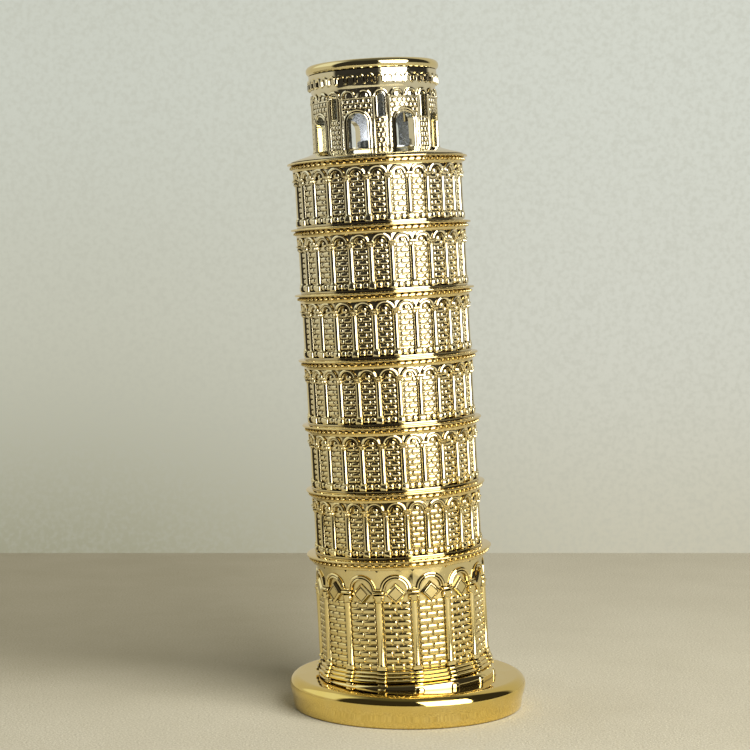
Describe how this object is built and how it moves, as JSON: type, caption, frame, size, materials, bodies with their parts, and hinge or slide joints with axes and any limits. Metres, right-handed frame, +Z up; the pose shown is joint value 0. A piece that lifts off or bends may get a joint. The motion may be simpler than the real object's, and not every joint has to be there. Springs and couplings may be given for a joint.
{
  "type": "miniature landmark model",
  "caption": "Souvenir leaning round tower in polished gold plate: arcaded storeys with beaded cornices and an open belfry, stacked on a low round domed base.",
  "frame": {"origin": "centre of the base's underside, on the surface that it rests on", "axes": "+Z up; the front, which faces a viewer, is -Y; the tower leans towards -X"},
  "size_m": [0.0668, 0.0664, 0.1801],
  "materials": {
    "gold_plate": "mirror-polished pale gold plate on a metal casting",
    "steel": "bright zinc-plated steel",
    "felt": "dark green felt"
  },
  "bodies": {
    "root": {"base": "gold_plate", "base_felt": "felt", "belfry_drum": "gold_plate", "belfry_rim": "gold_plate", "belfry_terrace": "gold_plate", "ground_cornice": "gold_plate", "ground_storey": "gold_plate", "loggia_cornice_1": "gold_plate", "loggia_cornice_2": "gold_plate", "loggia_cornice_3": "gold_plate", "loggia_cornice_4": "gold_plate", "loggia_cornice_5": "gold_plate", "loggia_cornice_6": "gold_plate", "loggia_storey_1": "gold_plate", "loggia_storey_2": "gold_plate", "loggia_storey_3": "gold_plate", "loggia_storey_4": "gold_plate", "loggia_storey_5": "gold_plate", "loggia_storey_6": "gold_plate", "lower_nut": "steel", "lower_washer": "steel", "tie_rod": "steel", "tower_plinth": "gold_plate", "upper_nut": "steel", "upper_washer": "steel"}
  },
  "joints": []
}
